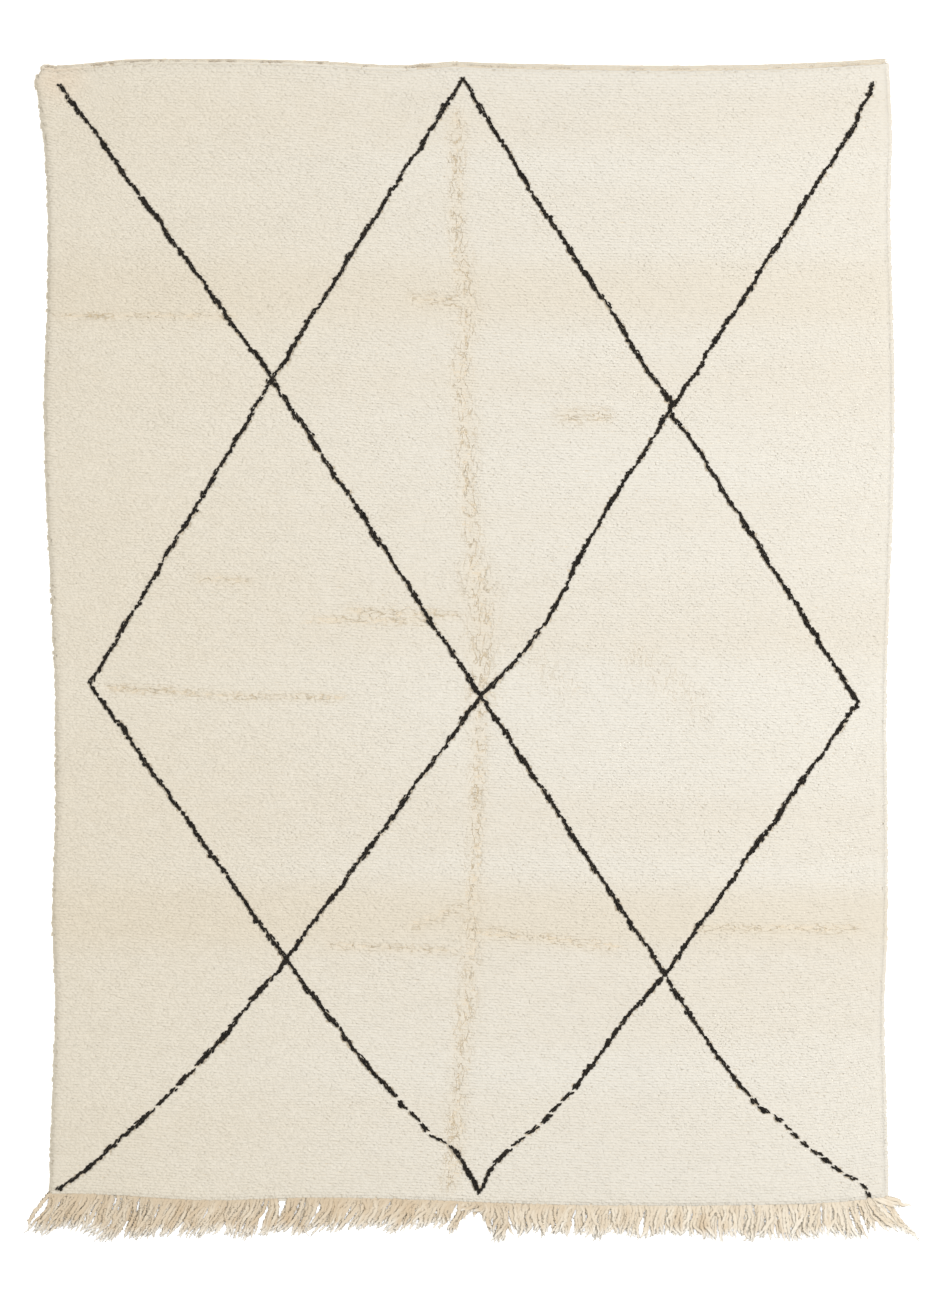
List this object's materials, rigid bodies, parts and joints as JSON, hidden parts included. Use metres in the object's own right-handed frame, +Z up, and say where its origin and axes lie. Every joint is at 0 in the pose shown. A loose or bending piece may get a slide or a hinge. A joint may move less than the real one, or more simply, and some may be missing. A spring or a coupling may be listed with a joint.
{
  "type": "hand-knotted wool rug with a warp fringe",
  "caption": "Flat rectangular hand-knotted wool pile rug, ivory with a thin dark diamond lattice, a flat-woven strip at one end and a loose warp fringe at the other.",
  "frame": {"origin": "on the floor under the middle of the whole rug, fringe included", "axes": "+X across the rug, +Y along it towards its flat-woven end, away from the fringe, +Z up out of the pile"},
  "size_m": [2.2222, 2.9626, 0.017],
  "materials": {
    "wool_pile": "undyed ivory sheep's wool, hand-spun, matt",
    "dark_wool": "natural near-black brown wool, hand-spun, matt",
    "warp_yarn": "undyed twisted warp yarn, matt"
  },
  "bodies": {
    "root": {"rug_body": "wool_pile", "warp_fringe": "warp_yarn"}
  },
  "joints": []
}
